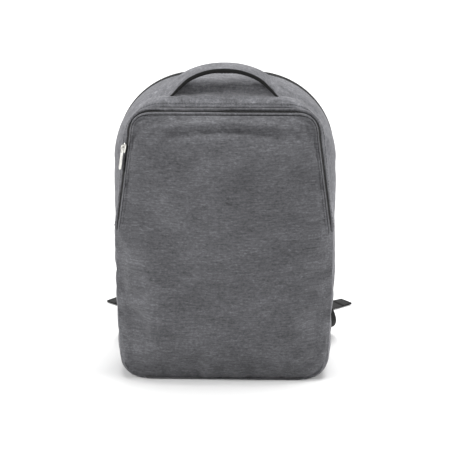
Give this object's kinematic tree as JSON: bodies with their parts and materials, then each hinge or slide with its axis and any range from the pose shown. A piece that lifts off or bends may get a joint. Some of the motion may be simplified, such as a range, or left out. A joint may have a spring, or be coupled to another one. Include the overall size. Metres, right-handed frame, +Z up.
{
  "type": "laptop backpack",
  "caption": "Soft laptop backpack with a zipped main compartment, a zipped front pocket, padded shoulder straps with ladder-lock adjusters, and a padded carry handle.",
  "frame": {"origin": "middle of the base, on the surface that the bag stands on", "axes": "+Z up, the front pocket faces -Y, the shoulder straps are on +Y, +X is to the right seen from the front"},
  "size_m": [0.3962, 0.3376, 0.4397],
  "materials": {
    "heather_front": "mottled grey polyester weave with short horizontal streaks",
    "heather_back": "mottled grey polyester weave with short vertical streaks",
    "binding": "black woven edge binding",
    "webbing": "black ribbed webbing",
    "zip_tape": "black knitted zip tape",
    "zip_coil": "black moulded coil",
    "black_plastic": "black moulded acetal",
    "zip_metal": "satin plated zinc",
    "lining": "dark grey lining",
    "stiffener": "plain sheet"
  },
  "bodies": {
    "pack": {"back_panel": "heather_back", "back_board": "stiffener", "rear_gusset": "heather_back", "main_zip_tape_rear": "zip_tape", "main_zip_coil_rear": "zip_coil", "lower_gusset_left": "heather_front", "lower_gusset_right": "heather_front", "base_panel": "heather_front", "base_board": "stiffener", "front_panel_lower": "heather_front", "divider_lower": "lining", "laptop_sleeve": "lining", "main_zip_end_tabs": "webbing", "strap_yoke": "heather_back", "strap_yoke_binding": "binding", "side_wing_left": "webbing", "side_wing_right": "webbing", "lower_webbing_left": "webbing", "lower_webbing_right": "webbing"},
    "main_flap": {"front_gusset": "heather_front", "main_zip_tape_front": "zip_tape", "main_zip_coil_front": "zip_coil", "front_panel_middle": "heather_front", "pocket_divider": "lining", "organiser_pocket": "lining", "pocket_zip_tape_rear": "zip_tape", "pocket_zip_coil_rear": "zip_coil", "handle_anchors": "heather_front"},
    "pocket_flap": {"front_panel_upper": "heather_front", "pocket_zip_tape_front": "zip_tape", "pocket_zip_coil_front": "zip_coil"},
    "handle": {"handle_cover": "heather_front", "handle_core": "stiffener", "handle_lining": "binding"},
    "strap_left": {"strap_pad_left": "heather_back", "strap_binding_left": "binding", "strap_tab_left": "webbing"},
    "adjuster_left": {"ladder_lock_left": "black_plastic", "adjuster_webbing_left": "webbing"},
    "tail_left": {"webbing_tail_left": "webbing"},
    "strap_right": {"strap_pad_right": "heather_back", "strap_binding_right": "binding", "strap_tab_right": "webbing"},
    "adjuster_right": {"ladder_lock_right": "black_plastic", "adjuster_webbing_right": "webbing"},
    "tail_right": {"webbing_tail_right": "webbing"},
    "main_slider": {"main_zip_slider": "black_plastic"},
    "main_puller": {"main_zip_puller": "black_plastic"},
    "pocket_slider": {"pocket_zip_slider": "zip_metal"},
    "pocket_puller": {"pocket_zip_puller": "zip_metal"}
  },
  "joints": [
    {"name": "main_open", "type": "hinge", "parent": "pack", "child": "main_flap", "pos_m": [0, -0.074, 0.12], "axis": [1, 0, 0], "range_deg": [0, 55]},
    {"name": "pocket_open", "type": "hinge", "parent": "main_flap", "child": "pocket_flap", "pos_m": [0, -0.074, 0.22], "axis": [1, 0, 0], "range_deg": [0, 40]},
    {"name": "handle_swing", "type": "hinge", "parent": "main_flap", "child": "handle", "pos_m": [0, -0.025, 0.414], "axis": [1, 0, 0], "range_deg": [-20, 45]},
    {"name": "strap_left_swing", "type": "hinge", "parent": "pack", "child": "strap_left", "pos_m": [0, 0.0828, 0.354], "axis": [1, 0, 0], "range_deg": [0, 20]},
    {"name": "adjuster_left_swing", "type": "hinge", "parent": "strap_left", "child": "adjuster_left", "pos_m": [-0.074, 0.1342, 0.048], "axis": [1, 0, 0], "range_deg": [0, 30]},
    {"name": "tail_left_swing", "type": "hinge", "parent": "adjuster_left", "child": "tail_left", "pos_m": [-0.074, 0.139, 0.0185], "axis": [1, 0, 0], "range_deg": [0, 45]},
    {"name": "strap_right_swing", "type": "hinge", "parent": "pack", "child": "strap_right", "pos_m": [0, 0.0828, 0.354], "axis": [1, 0, 0], "range_deg": [0, 20]},
    {"name": "adjuster_right_swing", "type": "hinge", "parent": "strap_right", "child": "adjuster_right", "pos_m": [0.074, 0.1342, 0.048], "axis": [1, 0, 0], "range_deg": [0, 30]},
    {"name": "tail_right_swing", "type": "hinge", "parent": "adjuster_right", "child": "tail_right", "pos_m": [0.074, 0.139, 0.0185], "axis": [1, 0, 0], "range_deg": [0, 45]},
    {"name": "main_zip_slide", "type": "slide", "parent": "pack", "child": "main_slider", "axis": [0, 0, 1], "range_m": [0, 0.15]},
    {"name": "main_puller_swing", "type": "hinge", "parent": "main_slider", "child": "main_puller", "pos_m": [-0.1546, 0.026, 0.138], "axis": [0, 1, 0], "range_deg": [0, 150]},
    {"name": "pocket_zip_slide", "type": "slide", "parent": "main_flap", "child": "pocket_slider", "axis": [-0.1386, 0, -0.9903], "range_m": [0, 0.095]},
    {"name": "pocket_puller_swing", "type": "hinge", "parent": "pocket_slider", "child": "pocket_puller", "pos_m": [-0.1355, -0.05267, 0.33076], "axis": [-0.2895, 0.9563, 0.0405], "range_deg": [0, 150]}
  ]
}
